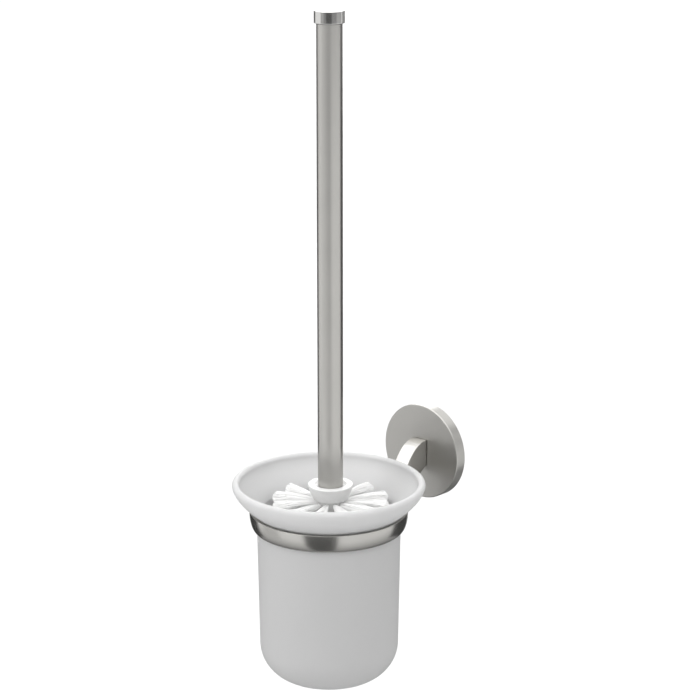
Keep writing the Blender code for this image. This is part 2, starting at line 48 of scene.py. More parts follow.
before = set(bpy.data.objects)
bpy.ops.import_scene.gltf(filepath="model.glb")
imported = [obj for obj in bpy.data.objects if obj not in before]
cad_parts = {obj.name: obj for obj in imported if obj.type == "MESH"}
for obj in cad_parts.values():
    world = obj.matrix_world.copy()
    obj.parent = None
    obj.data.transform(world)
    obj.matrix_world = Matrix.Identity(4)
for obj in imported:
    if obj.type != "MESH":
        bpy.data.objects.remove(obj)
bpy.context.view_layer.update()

BRACKET, CUP, BRUSH = "wall_bracket", "cup", "brush"
MERGE = 1e-7  # points closer than this are one point
TO_ROOM = Matrix.Rotation(pi / 2, 4, "X")  # a turned piece's +Z to -Y
TO_WALL = Matrix.Rotation(-pi / 2, 4, "X")  # a turned piece's +Z to +Y
DOWN = Matrix.Rotation(pi, 4, "X")
ARM_SCREW_RADIUS = 0.0025  # of the shanks, under the heads that the frame's boxes give
RING_SCREW_RADIUS = 0.0015
WALL_SCREW_HEAD = 0.0022  # its height
FLARE_LIGHT_BELOW, FLARE_LIGHT_ABOVE = 0.004, 0.010  # painted light: the glass's colour lightens between these, from the ring's top
TUFT_START = 0.0004  # how deep in the core the filaments start


# ---- places in the frame


class Place:
    """A CAD node's box, read as a round piece's levels, radius and axis."""

    def __init__(self, node):
        self.low, self.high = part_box(node)
        self.middle = (self.low + self.high) / 2
        self.size = self.high - self.low
        self.radius = self.size.x / 2
        self.top = self.high.z
        self.bottom = self.low.z


GLASS = Place("glass_cup")
RING = Place("ring")
LINER = Place("ring_liner")
ROSETTE = Place("rosette")
PLATE = Place("wall_plate")
TUBE = Place("handle_tube")
CAP = Place("handle_cap")
HEAD = Place("brush_head")
CUP_AXIS = Matrix.Translation((GLASS.middle.x, GLASS.middle.y, 0))
BRUSH_AXIS = Matrix.Translation((HEAD.middle.x, HEAD.middle.y, 0))


# ---- what a user would change


def number(name, description, default, **kind):
    return FloatProperty(name=name, description=description, default=default, **kind)


def length(name, description, default):
    return number(name, description, default, min=0, unit="LENGTH", precision=5)


def share(name, description, default):
    return number(name, description, default, min=0, max=1, subtype="FACTOR")


def colour(name, description, default):
    kind = {"size": 3, "min": 0, "max": 1, "subtype": "COLOR"}
    return FloatVectorProperty(name=name, description=description, default=default, **kind)


def count(name, description, default):
    return IntProperty(name=name, description=description, default=default, min=1)


class BrushHolderSizes(bpy.types.PropertyGroup):
    """Walls, roundings and shapes that the frame's boxes don't give"""

    gap: length("Gap", "Left between faces that touch on the real object", 0.0003)
    edge: length("Edge", "Rounding of a turned metal edge", 0.0004)
    body_radius: length("Glass body radius", "Outside of the straight wall, at its top", 0.04125)
    foot_taper: length("Glass taper", "How much narrower the wall is at the foot", 0.00125)
    rim_wall: length("Rim thickness", "Glass thickness at the rim", 0.0042)
    body_wall: length("Body thickness", "Glass thickness of the straight wall", 0.0032)
    floor: length("Floor thickness", "Glass thickness under the brush", 0.0050)
    foot_corner: length("Foot rounding", "Radius between the glass wall and foot", 0.0212)
    inner_flare: length("Inner flare", "How far down the inside the flare reaches", 0.0155)
    neck: length("Neck", "From the ring's top down to the straight wall", 0.0027)
    ring_wall: length("Ring wall", "Thickness of the metal ring at its top", 0.0020)
    ring_tuck: length("Ring tuck", "How much narrower the ring's outside is at the bottom", 0.0030)
    arm_end_rise: length("Arm end", "The bar's underside at the ring, above the ring's bottom", 0.0015)
    rosette_wall: length("Rosette wall", "Thickness of the rosette's rim", 0.0016)
    rosette_face: length("Rosette face", "Thickness of the rosette's face", 0.0020)
    arm_width: length("Arm width", "Width of the bar", 0.0100)
    arm_root: length("Arm root", "Height of the bar at the rosette", 0.0162)
    arm_edge: length("Arm edge", "Rounding of the bar's long edges", 0.0008)
    tube_wall: length("Tube wall", "Thickness of the handle tube", 0.0012)
    dish_radius: length("Dish radius", "Hollow in the hub round the handle", 0.0092)
    dish_depth: length("Dish depth", "How deep that hollow is", 0.0010)
    hub_height: length("Hub height", "From the hub's top to its core", 0.0087)
    core_radius: length("Core radius", "Core that the tufts are set in", 0.0080)
    flare_power: number("Flare shape", "1 is a cone, more is a curved flare", 1.6, min=1)


class BrushHolderFinishes(bpy.types.PropertyGroup):
    """Colours and sheens of the materials"""

    steel: colour("Steel", "Satin stainless steel", (0.475, 0.467, 0.446))
    tube_roughness: share("Tube roughness", "Satin polish of the handle tube", 0.30)
    steel_roughness: share("Bracket roughness", "Polish of the ring, arm and rosette", 0.22)
    bright: colour("Polished steel", "The handle's cap", (0.640, 0.635, 0.620))
    bright_roughness: share("Cap roughness", "Polish of the cap", 0.09)
    zinc: colour("Zinc", "Plated plate and fixings", (0.540, 0.560, 0.590))
    glass: colour("Glass", "Frosted glass", (0.590, 0.590, 0.590))
    # Painted light: the flare's lighter colour stands in for the brighter light on the cup's mouth and
    # lifts the shade next to the ring.
    flare_painted_light: colour("Glass flare", "The cup's mouth, painted lighter in place of light", (0.690, 0.690, 0.690))
    glass_roughness: share("Frosting", "Roughness of the frosted glass", 0.60)
    plastic: colour("White plastic", "The brush head", (0.660, 0.660, 0.655))
    nylon: colour("Bristle nylon", "The bristles", (0.950, 0.950, 0.945))
    plug: colour("Plug nylon", "The wall plugs", (0.420, 0.430, 0.440))
    clear: colour("Clear plastic", "The liner in the ring", (0.900, 0.910, 0.910))


class BrushHolderBristles(bpy.types.PropertyGroup):
    """How the tufts are filled"""

    tufts: count("Tufts", "Tufts in each row", 12)
    top_filaments: count("Top filaments", "Filaments in each tuft of the top row", 110)
    filaments: count("Filaments", "Filaments in each tuft of the other rows", 48)
    thickness: length("Filament", "Diameter of one filament", 0.00032)
    fan: number("Fan", "How wide a tuft spreads", radians(17), subtype="ANGLE")
    bend: share("Bend", "How far a filament's middle bows, as a share of its length", 0.035)
    dome: share("Dome", "How much shorter a tuft's outer filaments are", 0.06)
    seed: count("Seed", "Order of the filaments", 7)


class BrushHolderStudio(bpy.types.PropertyGroup):
    """Camera, floor and light"""

    azimuth: number("Azimuth", "0 looks along +Y", radians(43.15), subtype="ANGLE")
    elevation: number("Elevation", "Above level", radians(15.88), subtype="ANGLE")
    distance: length("Distance", "From the camera to what it looks at", 1.3024)
    lens: number("Lens", "Focal length in millimetres", 120.63, min=1)
    aim: FloatVectorProperty(
        name="Aim",
        description="What the camera looks at, from the cup's axis at the wall's level",
        default=(0.01656, 0.0, 0.08195),
        size=3,
        subtype="TRANSLATION",
        unit="LENGTH",
    )
    floor_drop: length("Floor", "How far the floor is below the origin", 0.50)
    horizon: number("Horizon", "Light from level", 0.90, min=0)
    zenith: number("Zenith", "Light from above", 2.15, min=0)


# ---- mesh helpers


def arc(centre, radii, start, end, steps):
    """Points on an ellipse's arc, both ends included."""
    angles = [start + (end - start) * i / steps for i in range(steps + 1)]
    return [(centre[0] + radii[0] * cos(a), centre[1] + radii[1] * sin(a)) for a in angles]


def softened(corners, steps=5, support=0.5):
    """Rounds a closed outline. A corner is (radius, height), or (radius, height, rounding)."""
    points = []
    for i, corner in enumerate(corners):
        here = Vector(corner[:2])
        if len(corner) == 2:
            points.append(tuple(here))
            continue
        back = (Vector(corners[i - 1][:2]) - here).normalized()
        onward = (Vector(corners[(i + 1) % len(corners)][:2]) - here).normalized()
        half = acos(max(-1, min(1, back.dot(onward)))) / 2
        rounding = corner[2]
        reach = rounding / tan(half)
        centre = here + (back + onward).normalized() * rounding / sin(half)
        first = here + back * reach - centre
        last = here + onward * reach - centre
        points.append(tuple(here + back * (reach + support * rounding)))
        for step in range(steps + 1):
            t = step / steps
            spoke = (first * sin((1 - t) * (pi - 2 * half)) + last * sin(t * (pi - 2 * half))).normalized()
            points.append(tuple(centre + spoke * rounding))
        points.append(tuple(here + onward * (reach + support * rounding)))
    return points


def ring_curve(sizes, room):
    """The ring's rounded outside, from its top edge to its bottom edge, with this much room round it."""
    radii = (sizes.ring_tuck + room, RING.size.z + room)
    return arc((RING.radius - sizes.ring_tuck, RING.top), radii, 0, -pi / 2, 24)


def turned(outline, facets, where=Matrix()):
    """A closed outline of (radius, height) points turned about Z, then put in place."""
    bm = bmesh.new()
    rings = []
    for radius, height in outline:
        if radius < MERGE:
            rings.append([bm.verts.new((0, 0, height))] * facets)
            continue
        angles = [2 * pi * i / facets for i in range(facets)]
        rings.append([bm.verts.new((radius * cos(a), radius * sin(a), height)) for a in angles])
    for ring, after in zip(rings, rings[1:] + rings[:1]):
        for i in range(facets):
            j = (i + 1) % facets
            corners = list(dict.fromkeys((ring[i], ring[j], after[j], after[i])))
            if len(corners) > 2:
                bm.faces.new(corners)
    bm.transform(where)
    return bm


def rod(radius, low, high, where=Matrix(), facets=64):
    """A plain round bar along Z, for cutting holes."""
    bm = bmesh.new()
    bmesh.ops.create_cone(
        bm, cap_ends=True, segments=facets, radius1=radius, radius2=radius, depth=high - low
    )
    bmesh.ops.rotate(bm, matrix=Matrix.Rotation(pi / facets, 3, "Z"), verts=bm.verts)
    bmesh.ops.translate(bm, vec=(0, 0, (low + high) / 2), verts=bm.verts)
    bm.transform(where)
    return bm


def facing_room(height):
    """Where a hole in the bracket starts, on the wall at this height, and runs out."""
    return Matrix.Translation((0, 0, height)) @ TO_ROOM


def linked(name, data):
    """A new object in the scene."""
    item = bpy.data.objects.new(name, data)
    bpy.context.scene.collection.objects.link(item)
    return item


def loose(name, bm):
    """An object in the scene that isn't a piece yet."""
    bmesh.ops.recalc_face_normals(bm, faces=bm.faces)
    mesh = bpy.data.meshes.new(name)
    bm.to_mesh(mesh)
    bm.free()
    return linked(name, mesh)


def settled(item):
    """The plain mesh that an object's modifiers make. The object itself goes."""
    graph = bpy.context.evaluated_depsgraph_get()
    mesh = bpy.data.meshes.new_from_object(item.evaluated_get(graph))
    bpy.data.objects.remove(item)
    return mesh


def carved(bm, *cutters):
    """What is left of a solid when each cutter is taken out of it."""
    solid = loose("solid", bm)
    tools = [loose("cutter", cutter) for cutter in cutters]
    for tool in tools:
        cut = solid.modifiers.new("cut", "BOOLEAN")
        cut.solver = "EXACT"
        cut.object = tool
    mesh = settled(solid)
    for tool in tools:
        bpy.data.objects.remove(tool)
    result = bmesh.new()
    result.from_mesh(mesh)
    return result


def piece(name, shape, look, body, nodes, sharp=32):
    """One finished piece: smooth where it curves, riding on its body and standing for its CAD nodes."""
    mesh = shape
    if isinstance(shape, bmesh.types.BMesh):
        bmesh.ops.remove_doubles(shape, verts=shape.verts, dist=MERGE)
        bmesh.ops.recalc_face_normals(shape, faces=shape.faces)
        mesh = bpy.data.meshes.new(name)
        shape.to_mesh(mesh)
        shape.free()
    mesh.name = name
    mesh.shade_smooth()
    mesh.set_sharp_from_angle(angle=radians(sharp))
    mesh.materials.clear()
    mesh.materials.append(finish(look))
    item = linked(name, mesh)
    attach(item, body)
    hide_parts(*nodes)
    return item


# ---- node helpers


def maths(operation, swapped=False):
    """What one of Python's operators does between a node's output and something else."""

    def add_node(self, other):
        pair = (other, self) if swapped else (self, other)
        return self.graph.math(operation, *pair)

    return add_node


class Socket:
    """A node's output. Python's operators on it add Math nodes."""

    def __init__(self, graph, output):
        self.graph = graph
        self.output = output

    def pick(self, name):
        """Another output of the same node."""
        return Socket(self.graph, self.graph.find(self.output.node.outputs, name))

    __add__ = __radd__ = maths("ADD")
    __sub__ = maths("SUBTRACT")
    __rsub__ = maths("SUBTRACT", swapped=True)
    __mul__ = __rmul__ = maths("MULTIPLY")
    __truediv__ = maths("DIVIDE")
    __mod__ = maths("FLOORED_MODULO")
    __pow__ = maths("POWER")


class Graph:
    """Adds nodes to a shader tree or a geometry tree."""

    def __init__(self, tree):
        self.tree = tree

    @staticmethod
    def find(sockets, name):
        """A socket by its identifier or, failing that, by its name."""
        for socket in sockets:
            if socket.identifier == name:
                return socket
        return next(socket for socket in sockets if socket.name == name and socket.enabled)

    def node(self, kind, settings=None, inputs=None, output=None):
        """Adds a node: its settings first, then the values or links of its inputs."""
        node = self.tree.nodes.new(kind)
        for name, value in (settings or {}).items():
            setattr(node, name, value)
        for name, value in (inputs or {}).items():
            socket = self.find(node.inputs, name)
            if isinstance(value, Socket):
                self.tree.links.new(value.output, socket)
            else:
                socket.default_value = value
        if output:
            return Socket(self, self.find(node.outputs, output))
        first = next((socket for socket in node.outputs if socket.enabled), None)
        return Socket(self, first) if first else node

    def math(self, operation, *values):
        inputs = {("Value", "Value_001", "Value_002")[i]: value for i, value in enumerate(values)}
        return self.node("ShaderNodeMath", {"operation": operation}, inputs)

    def vector(self, x, y, z):
        return self.node("ShaderNodeCombineXYZ", None, {"X": x, "Y": y, "Z": z})

    def split(self, vector):
        x = self.node("ShaderNodeSeparateXYZ", None, {"Vector": vector}, "X")
        return x, x.pick("Y"), x.pick("Z")


class Paint(Graph):
    """One material, with its Principled shader and the object's own coordinates."""

    def __init__(self, name, **constants):
        self.material = bpy.data.materials.new(name)
        self.material.use_nodes = True
        super().__init__(self.material.node_tree)
        self.shader = self.tree.nodes["Principled BSDF"]
        for name, value in constants.items():
            self.shader.inputs[name.replace("_", " ").title().replace("Ior", "IOR")].default_value = value
        self.place = self.node("ShaderNodeTexCoord", output="Object")

    def noise(self, density, detail=2.0, roughness=0.5, **extra):
        """Soft noise, with about density bumps in a metre."""
        inputs = {"Vector": self.place, "Scale": density, "Detail": detail, "Roughness": roughness}
        inputs.update(extra)
        settings = {"noise_dimensions": "4D"} if "W" in extra else {}
        return self.node("ShaderNodeTexNoise", settings, inputs, "Fac")

    def blend(self, factor, first, second):
        """A colour between two others."""
        inputs = {"Factor_Float": factor, "A_Color": first, "B_Color": second}
        return self.node("ShaderNodeMix", {"data_type": "RGBA"}, inputs, "Result_Color")

    def mottle(self, factor, base, low, high):
        """The base colour, from a darker to a lighter tone."""
        self.feed("Base Color", self.blend(factor, tone(base, low), tone(base, high)))

    def finished(self, roughness, relief=None, depth=0.0, strength=1.0):
        """The material, once it has its roughness and its relief."""
        self.feed("Roughness", roughness)
        if relief:
            inputs = {"Height": relief, "Distance": depth, "Strength": strength}
            self.feed("Normal", self.node("ShaderNodeBump", None, inputs))
        return self.material

    def feed(self, name, value):
        self.tree.links.new(value.output, self.shader.inputs[name])


def tone(base, change):
    """A colour made lighter or darker, with its alpha."""
    return tuple(min(1, part * change) for part in base) + (1,)


def grey(level):
    return (level, level, level, 1)


# ---- materials


def brushed_steel(name, base, roughness, grain):
    """Stainless steel with fine polishing lines. grain gives the coordinate that the lines lie across."""
    paint = Paint(name, metallic=1.0)
    x, _, z = paint.split(paint.place)
    across = {
        "round": z,
        "lengthwise": x,
        "turned": (x * x + z * z) ** 0.5,
    }[grain]
    lines = paint.noise(30.0, 3.0, 0.6, W=across * 2600)
    cloud = paint.noise(45.0, 3.0, 0.55)
    paint.mottle(cloud, base, 0.96, 1.04)
    return paint.finished(roughness + (lines - 0.5) * 0.12 + (cloud - 0.5) * 0.05, lines, 0.000004, 0.5)


def bright_steel(finishes):
    """The cap's mirror polish, with faint hairlines."""
    paint = Paint("polished_steel", metallic=1.0)
    haze = paint.noise(160.0, 4.0, 0.6)
    hairs = paint.noise(900.0, 2.0, 0.7)
    paint.mottle(haze, finishes.bright, 0.97, 1.03)
    return paint.finished(finishes.bright_roughness + haze * 0.04, hairs, 0.000002, 0.25)


def plated_zinc(finishes):
    """Dull plating with the patchy grain of dipped zinc."""
    paint = Paint("zinc_plate", metallic=1.0)
    patches = paint.noise(420.0, 4.0, 0.6, Distortion=0.8)
    grain = paint.noise(2400.0, 3.0, 0.6)
    paint.mottle(patches, finishes.zinc, 0.8, 1.15)
    return paint.finished(0.3 + patches * 0.22, grain, 0.00001, 0.4)


def frosted_glass(finishes):
    """Acid-frosted glass: shapes behind it show only as a cloud. The flare is painted lighter, as painted
    light on the mouth and against the shade next to the ring.
    """
    paint = Paint("frosted_glass", transmission_weight=0.35, ior=1.46)
    grain = paint.noise(2600.0, 3.0, 0.6)
    cloud = paint.noise(60.0, 2.0, 0.5)
    base = finishes.glass
    height = paint.split(paint.place)[2]
    # Painted light: the base colour lightens from the body's tone to the flare's tone, from just below the
    # ring's top up the flare.
    start, end = RING.top - FLARE_LIGHT_BELOW, RING.top + FLARE_LIGHT_ABOVE
    change = {"Value": height, "From Min": start, "From Max": end}
    flare = paint.node("ShaderNodeMapRange", {"interpolation_type": "SMOOTHSTEP"}, change, "Result")
    body = paint.blend(cloud, tone(base, 0.99), tone(base, 1.01))
    paint.feed("Base Color", paint.blend(flare, body, tone(finishes.flare_painted_light, 1)))
    roughness = finishes.glass_roughness + (grain - 0.5) * 0.1 + (cloud - 0.5) * 0.04
    return paint.finished(roughness, grain, 0.000008, 0.3)


def clear_plastic(finishes):
    """The soft milky ring between metal and glass."""
    paint = Paint("clear_plastic", transmission_weight=0.40, ior=1.45)
    flow = paint.noise(220.0, 3.0, 0.5)
    paint.mottle(flow, finishes.clear, 0.96, 1.0)
    return paint.finished(0.16 + flow * 0.14, flow, 0.00002, 0.3)


def white_plastic(finishes):
    """The moulded brush head, slightly orange-peeled."""
    paint = Paint("white_plastic", coat_weight=0.15, coat_roughness=0.2)
    peel = paint.noise(1300.0, 2.0, 0.5)
    flow = paint.noise(90.0, 2.0, 0.5)
    paint.mottle(flow, finishes.plastic, 0.985, 1.01)
    return paint.finished(0.34 + peel * 0.1, peel, 0.00002, 0.25)


def bristle_nylon(finishes):
    """White nylon filament: each one has its own tone, and it is a little lighter towards its tip."""
    paint = Paint("white_bristle", coat_weight=0.1, coat_roughness=0.3)
    own = paint.node("ShaderNodeAttribute", {"attribute_name": "own_tone"}, None, "Fac")
    along = paint.node("ShaderNodeAttribute", {"attribute_name": "along"}, None, "Fac")
    paint.mottle(own * 0.7 + along * 0.3, finishes.nylon, 0.96, 1.04)
    return paint.finished(0.42 + own * 0.16)


def plug_nylon(finishes):
    """Matt grey nylon of the wall plugs."""
    paint = Paint("grey_nylon")
    grain = paint.noise(1800.0, 4.0, 0.6)
    flow = paint.noise(160.0, 3.0, 0.5)
    paint.mottle(flow, finishes.plug, 0.9, 1.1)
    return paint.finished(0.5 + grain * 0.15, grain, 0.00003, 0.4)


MAKERS = {
    "tube_steel": lambda f: brushed_steel("tube_steel", f.steel, f.tube_roughness, "round"),
    "ring_steel": lambda f: brushed_steel("ring_steel", f.steel, f.steel_roughness, "round"),
    "arm_steel": lambda f: brushed_steel("arm_steel", f.steel, f.steel_roughness, "lengthwise"),
    "rosette_steel": lambda f: brushed_steel(
        "rosette_steel", tone(f.steel, 0.95)[:3], f.steel_roughness + 0.08, "turned"),
    "polished_steel": bright_steel,
    "zinc_plate": plated_zinc,
    "frosted_glass": frosted_glass,
    "clear_plastic": clear_plastic,
    "white_plastic": white_plastic,
    "white_bristle": bristle_nylon,
    "grey_nylon": plug_nylon,
}
FINISHES = {}


def finish(name):
    """A material, made the first time that a piece needs it."""
    if name not in FINISHES:
        FINISHES[name] = MAKERS[name](bpy.context.scene.brush_holder_finishes)
    return FINISHES[name]


def dress(node, material):
    """Gives a CAD node that is shown as it is a finished material."""
    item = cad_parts[node]
    item.data.materials.clear()
    item.data.materials.append(material)


# ---- operators: the glass cup


class BRUSHHOLDER_OT_glass_cup(bpy.types.Operator):
    """Frosted glass cup with a flared mouth, hanging in the ring"""

    bl_idname = "brushholder.glass_cup"
    bl_label = "Glass cup"
    flare_steps = 22
    wall_steps = 9

    def flare(self, sizes, lip, neck, depth):
        """One face of the flare, from the rim's level down: this far out at the lip and at the neck."""
        level = GLASS.top - sizes.rim_wall / 2
        shares = [i / self.flare_steps for i in range(1, self.flare_steps + 1)]
        return [(lip - (lip - neck) * down**sizes.flare_power, level - depth * down) for down in shares]

    def wall(self, start, end):
        """The points that split a straight wall into even steps, without its ends."""
        shares = [i / self.wall_steps for i in range(1, self.wall_steps)]
        return [tuple(a + (b - a) * share for a, b in zip(start, end)) for share in shares]

    def outline(self, sizes):
        """The cup's section: over the rim, down the outside, and back up the inside."""
        rim, half = GLASS.radius, sizes.rim_wall / 2
        level = GLASS.top - half
        seat = RING.radius - sizes.ring_wall - sizes.gap
        neck = (sizes.body_radius, RING.top - sizes.neck)
        foot, corner = sizes.body_radius - sizes.foot_taper, sizes.foot_corner
        points = arc((rim - half, level), (half, half), pi, 0, 14)
        points += self.flare(sizes, rim, seat, level - RING.top)
        points += [neck, *self.wall(neck, (foot, GLASS.bottom + corner))]
        points += arc((foot - corner, GLASS.bottom + corner), (corner, corner), 0, -pi / 2, 20)
        floor = GLASS.bottom + sizes.floor
        points += [(0, GLASS.bottom), (0, floor)]
        inner, inner_foot = corner - sizes.body_wall, foot - sizes.body_wall
        points += arc((inner_foot - inner, floor + inner), (inner, inner), -pi / 2, 0, 18)
        throat = sizes.body_radius - sizes.body_wall
        points += self.wall((inner_foot, floor + inner), (throat, level - sizes.inner_flare))
        points += self.flare(sizes, rim - sizes.rim_wall, throat, sizes.inner_flare)[::-1]
        return points

    def execute(self, context):
        sizes = context.scene.brush_holder_sizes
        shape = turned(self.outline(sizes), 160, CUP_AXIS)
        piece("glass_cup_frosted", shape, "frosted_glass", CUP, ["glass_cup"], 60)
        return {"FINISHED"}


# ---- operators: the bracket


class BRUSHHOLDER_OT_ring(bpy.types.Operator):
    """Metal ring that holds the cup, and the clear liner inside it"""

    bl_idname = "brushholder.ring"
    bl_label = "Ring and liner"

    def execute(self, context):
        sizes = context.scene.brush_holder_sizes
        soft, gap = sizes.edge / 2, sizes.gap
        seat = RING.radius - sizes.ring_wall - gap
        slope = (seat - sizes.body_radius) / sizes.neck
        mouth = seat + gap * (1 + slope**2) ** 0.5
        inner = LINER.radius + gap
        lip = sizes.body_radius + gap
        lip_top = LINER.bottom - gap
        band = softened([
            (mouth, RING.top, soft), (RING.radius, RING.top, soft), *ring_curve(sizes, 0)[1:],
            (lip, RING.bottom, soft), (lip, lip_top - inner + lip, soft),
            (inner, lip_top, soft), (inner, RING.top - (mouth - inner) / slope, soft),
        ])
        screw = Place("ring_screw")
        head = screw.size.x / 2 + gap
        bore = head / 2
        middle = Matrix.Translation((0, screw.low.y, screw.middle.z)) @ TO_WALL
        sink = [(0, -head), (head, -head), (head, 0), (bore, head - bore), (bore, 2 * head), (0, 2 * head)]
        ring = carved(turned(band, 192, CUP_AXIS), turned(sink, 48, middle))
        piece("ring_band", ring, "ring_steel", BRACKET, ["ring"])
        liner = softened([
            (lip, LINER.top, soft), (LINER.radius, LINER.top, soft),
            (LINER.radius, LINER.bottom, soft), (lip, LINER.bottom, soft),
        ], 3)
        sleeve = turned(liner, 160, CUP_AXIS)
        piece("liner_sleeve", sleeve, "clear_plastic", BRACKET, ["ring_liner"])
        return {"FINISHED"}


class BRUSHHOLDER_OT_arm(bpy.types.Operator):
    """Flat-sided bar that leaves the rosette level, drops, and meets the ring level again"""

    bl_idname = "brushholder.arm"
    bl_label = "Arm"
    top_handles = (0.490, 0.532)  # shares of the way from the rosette to the ring
    under_handles = (0.112, 0.560)
    points = 40

    def curve(self, start, end, handles):
        """Points along a level-ended S-curve of (out, height)."""
        (x0, z0), (x3, z3) = start, end
        x1, x2 = x0 + handles[0] * (x3 - x0), x3 - handles[1] * (x3 - x0)
        path = []
        for i in range(self.points):
            t = i / (self.points - 1)
            a, b, c, d = (1 - t) ** 3, 3 * t * (1 - t) ** 2, 3 * t * t * (1 - t), t**3
            path.append((a * x0 + b * x1 + c * x2 + d * x3, (a + b) * z0 + (c + d) * z3))
        return path

    def execute(self, context):
        sizes = context.scene.brush_holder_sizes
        width, half = sizes.arm_width, sizes.arm_root / 2
        root = ROSETTE.size.y + sizes.gap
        ring_back = -GLASS.middle.y - RING.radius
        reach = ring_back + width / 4
        top = self.curve((root, half), (reach, RING.top), self.top_handles)
        low = RING.bottom + sizes.arm_end_rise
        under = self.curve((root, -half), (reach, low), self.under_handles)
        bm = bmesh.new()
        side = bm.faces.new([bm.verts.new((-width / 2, -out, z)) for out, z in top + under[::-1]])
        swept = bmesh.ops.extrude_face_region(bm, geom=[side])["geom"]
        moved = [item for item in swept if isinstance(item, bmesh.types.BMVert)]
        bmesh.ops.translate(bm, vec=(width, 0, 0), verts=moved)
        bar = loose("bar", bm)
        bevel = bar.modifiers.new("edges", "BEVEL")
        bevel.width = sizes.arm_edge
        bevel.segments = 5
        bevel.limit_method = "ANGLE"
        bevel.angle_limit = radians(50)
        rounded = bmesh.new()
        rounded.from_mesh(settled(bar))
        gap, above = sizes.gap, RING.top + sizes.arm_root
        cope = turned([
            (0, above), (RING.radius + gap, above), *ring_curve(sizes, gap), (0, RING.bottom - gap),
        ], 192, CUP_AXIS)
        screw, dowel, ring_screw = Place("arm_screw"), Place("arm_dowel"), Place("ring_screw")
        bores = [cope]
        for fixing, radius in ((screw, ARM_SCREW_RADIUS), (dowel, dowel.size.x / 2)):
            bores.append(rod(radius + gap, 0, -fixing.low.y + gap, facing_room(fixing.middle.z)))
        from_ring = facing_room(ring_screw.middle.z)
        bores.append(rod(RING_SCREW_RADIUS + gap, -ring_screw.high.y - gap, ring_back + width, from_ring))
        piece("arm_bar", carved(rounded, *bores), "arm_steel", BRACKET, ["arm"])
        return {"FINISHED"}


class BRUSHHOLDER_OT_rosette(bpy.types.Operator):
    """Round cover against the wall, open at the back, with a grub screw underneath"""

    bl_idname = "brushholder.rosette"
    bl_label = "Rosette"

    def execute(self, context):
        sizes = context.scene.brush_holder_sizes
        radius, depth = ROSETTE.radius, ROSETTE.size.y
        bore = radius - sizes.rosette_wall
        inside = depth - sizes.rosette_face
        edge = sizes.edge
        dowel, grub = Place("arm_dowel"), Place("grub_screw")
        shank = ARM_SCREW_RADIUS + sizes.gap
        shell = softened([
            (shank, depth), (radius, depth, edge * 1.5), (radius, 0, edge / 2),
            (bore, 0, edge / 2), (bore, inside, edge), (shank, inside),
        ])
        pin = facing_room(dowel.middle.z)
        under = Matrix.Translation((0, grub.middle.y, 0)) @ DOWN
        cover = carved(
            turned(shell, 192, TO_ROOM),
            rod(dowel.size.x / 2 + sizes.gap, 0, 2 * depth, pin, 32),
            rod(grub.size.x / 2 + sizes.gap, bore / 2, 2 * radius, under, 32),
        )
        piece("rosette_cover", cover, "rosette_steel", BRACKET, ["rosette"])
        return {"FINISHED"}


class BRUSHHOLDER_OT_wall_plate(bpy.types.Operator):
    """Zinc disc that is screwed to the wall behind the rosette"""

    bl_idname = "brushholder.wall_plate"
    bl_label = "Wall plate"

    def execute(self, context):
        sizes = context.scene.brush_holder_sizes
        screw, washer, grub = Place("arm_screw"), Place("arm_washer"), Place("grub_screw")
        thickness, radius, edge = PLATE.size.y, PLATE.radius, sizes.edge
        recess = washer.radius + 2 * sizes.gap
        floor = -screw.high.y - sizes.gap
        disc = softened([
            (0, floor), (recess, floor), (recess, thickness, edge / 2), (radius, thickness, edge),
            (radius, 0, edge / 2), (0, 0),
        ])
        cutters = []
        for node in ("wall_screw_upper", "wall_screw_lower"):
            fixing, plug = Place(node), Place(node.replace("screw", "plug"))
            head = fixing.radius + sizes.gap
            hole = plug.radius + sizes.gap
            sunk = thickness - WALL_SCREW_HEAD - sizes.gap
            stepped = [(0, -thickness), (0, 2 * thickness), (head, 2 * thickness), (head, sunk),
                       (hole, sunk), (hole, -thickness)]
            cutters.append(turned(stepped, 64, facing_room(fixing.middle.z)))
        under = Matrix.Translation((0, grub.middle.y, 0)) @ DOWN
        cutters.append(rod(grub.size.x / 2 + sizes.gap, -grub.high.z - sizes.gap, 2 * radius, under, 32))
        plate = carved(turned(disc, 160, TO_ROOM), *cutters)
        piece("wall_plate_disc", plate, "zinc_plate", BRACKET, ["wall_plate"])
        return {"FINISHED"}


# ---- operators: the brush


class BRUSHHOLDER_OT_handle(bpy.types.Operator):
    """Satin steel tube with a polished cap"""

    bl_idname = "brushholder.handle"
    bl_label = "Handle"
    cap_edge = 0.0003

    def execute(self, context):
        sizes = context.scene.brush_holder_sizes
        outer, inner = TUBE.radius, TUBE.radius - sizes.tube_wall
        end = sizes.edge / 2
        wall = softened([
            (inner, TUBE.top, end), (outer, TUBE.top, end),
            (outer, TUBE.bottom, end), (inner, TUBE.bottom, end),
        ], 3)
        tube = turned(wall, 128, BRUSH_AXIS)
        piece("handle_tube_satin", tube, "tube_steel", BRUSH, ["handle_tube"])
        under = TUBE.top + sizes.gap
        edge, fit = self.cap_edge, inner - sizes.gap
        knob = softened([
            (0, CAP.top), (CAP.radius, CAP.top, edge), (CAP.radius, under, edge), (fit, under),
            (fit, CAP.bottom, edge), (0, CAP.bottom),
        ], 6)
        cap = turned(knob, 128, BRUSH_AXIS)
        piece("handle_cap_polished", cap, "polished_steel", BRUSH, ["handle_cap"])
        return {"FINISHED"}


